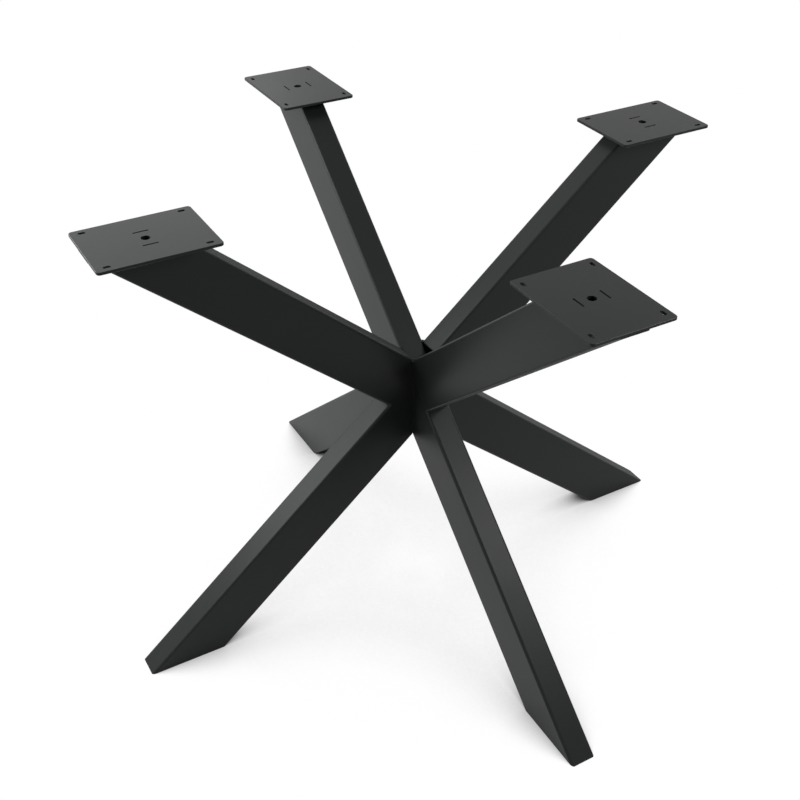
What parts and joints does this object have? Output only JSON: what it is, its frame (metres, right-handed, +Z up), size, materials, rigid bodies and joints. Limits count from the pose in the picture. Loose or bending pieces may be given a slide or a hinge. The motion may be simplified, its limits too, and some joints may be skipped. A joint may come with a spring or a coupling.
{
  "type": "table frame",
  "caption": "Crossed-leg table frame welded from black powder-coated rectangular steel tube, with slotted plates on its arms that carry and fasten a table top.",
  "frame": {"origin": "on the floor, straight under the hub where the tubes cross", "axes": "+X to the right-hand top plate, +Y to the back top plate, +Z up"},
  "size_m": [0.9632, 0.9632, 0.72],
  "materials": {
    "black_powder_coat": "fine matt powder coat on welded steel"
  },
  "bodies": {
    "root": {"through_tube": "black_powder_coat", "front_arm": "black_powder_coat", "back_leg": "black_powder_coat", "right_arm": "black_powder_coat", "left_arm": "black_powder_coat", "right_leg": "black_powder_coat", "left_leg": "black_powder_coat", "right_top_plate": "black_powder_coat", "back_top_plate": "black_powder_coat", "left_top_plate": "black_powder_coat", "front_top_plate": "black_powder_coat", "right_foot_plate": "black_powder_coat", "back_foot_plate": "black_powder_coat", "left_foot_plate": "black_powder_coat", "front_foot_plate": "black_powder_coat"}
  },
  "joints": []
}
